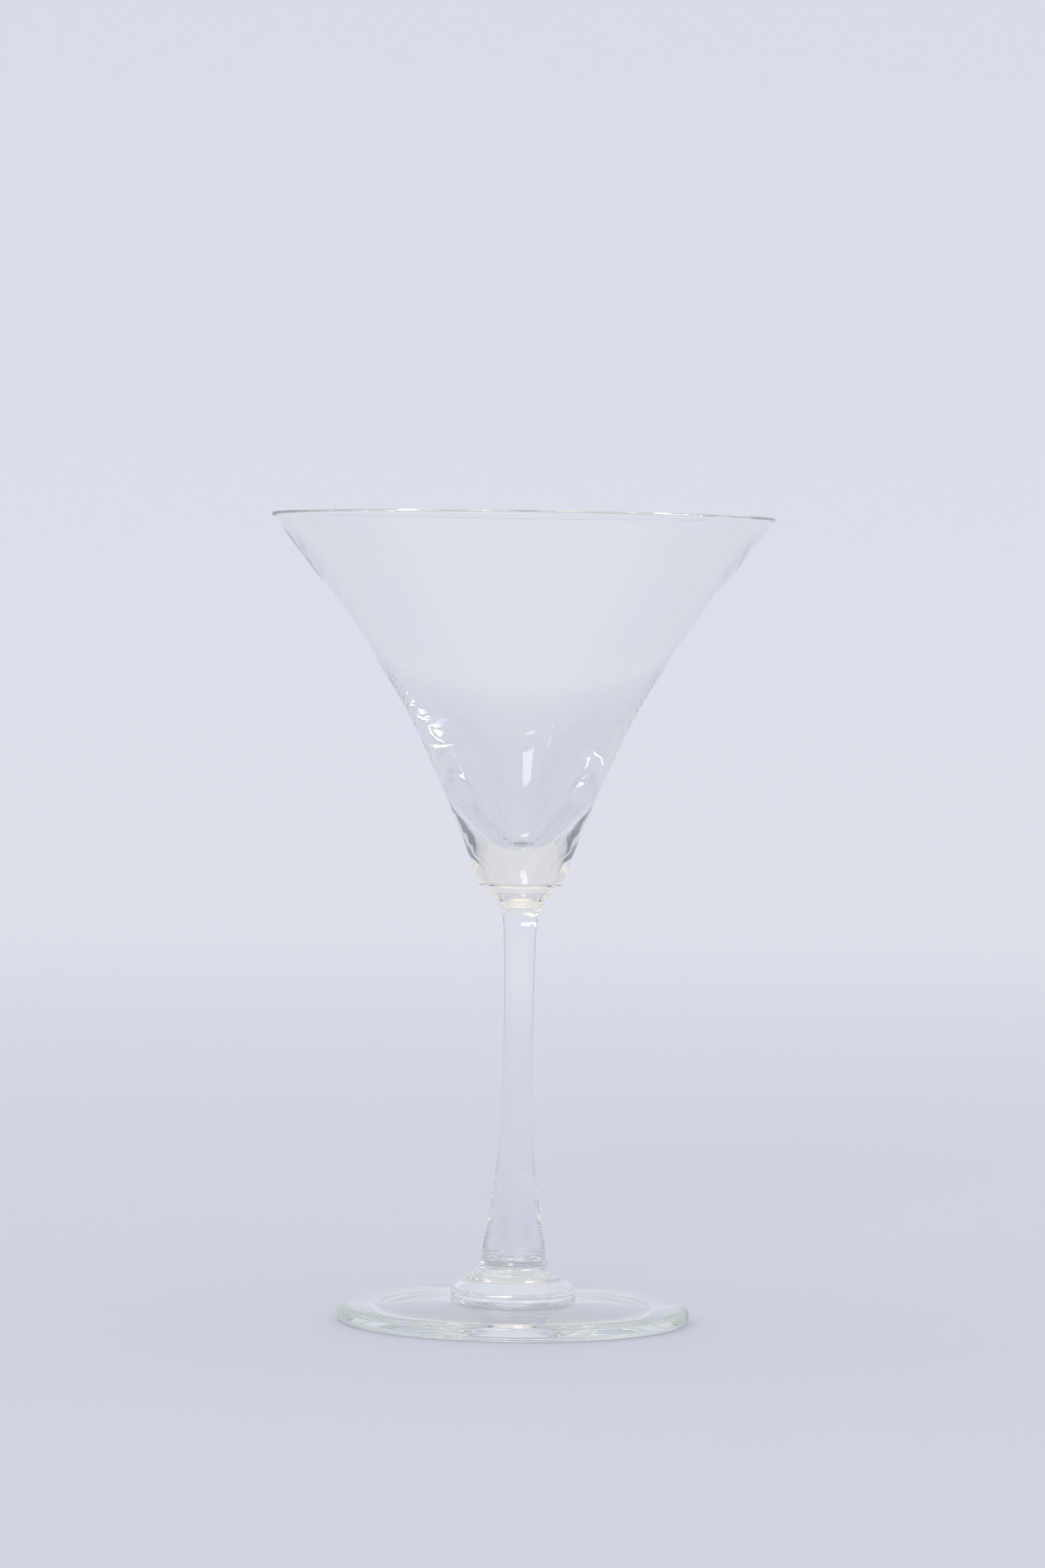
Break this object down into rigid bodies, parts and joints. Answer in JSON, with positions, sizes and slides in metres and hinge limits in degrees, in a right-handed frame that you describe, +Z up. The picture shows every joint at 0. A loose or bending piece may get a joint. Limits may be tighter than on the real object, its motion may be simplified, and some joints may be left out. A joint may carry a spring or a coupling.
{
  "type": "martini glass",
  "caption": "Stemmed cocktail glass with a wide flaring bowl on a collar, a slender drawn stem and a flat round foot, for serving a chilled drink.",
  "frame": {"origin": "centre of the foot's rest plane, on the axis of the glass", "axes": "+Z up along the axis of symmetry, from the foot to the rim; X and Y level"},
  "size_m": [0.1124, 0.1124, 0.1804],
  "materials": {
    "clear_glass": "clear fire-polished soda-lime glass, faintly green where it is thick"
  },
  "bodies": {
    "root": {"bowl": "clear_glass", "upper_collar": "clear_glass", "stem": "clear_glass", "pedestal": "clear_glass", "foot": "clear_glass"}
  },
  "joints": []
}
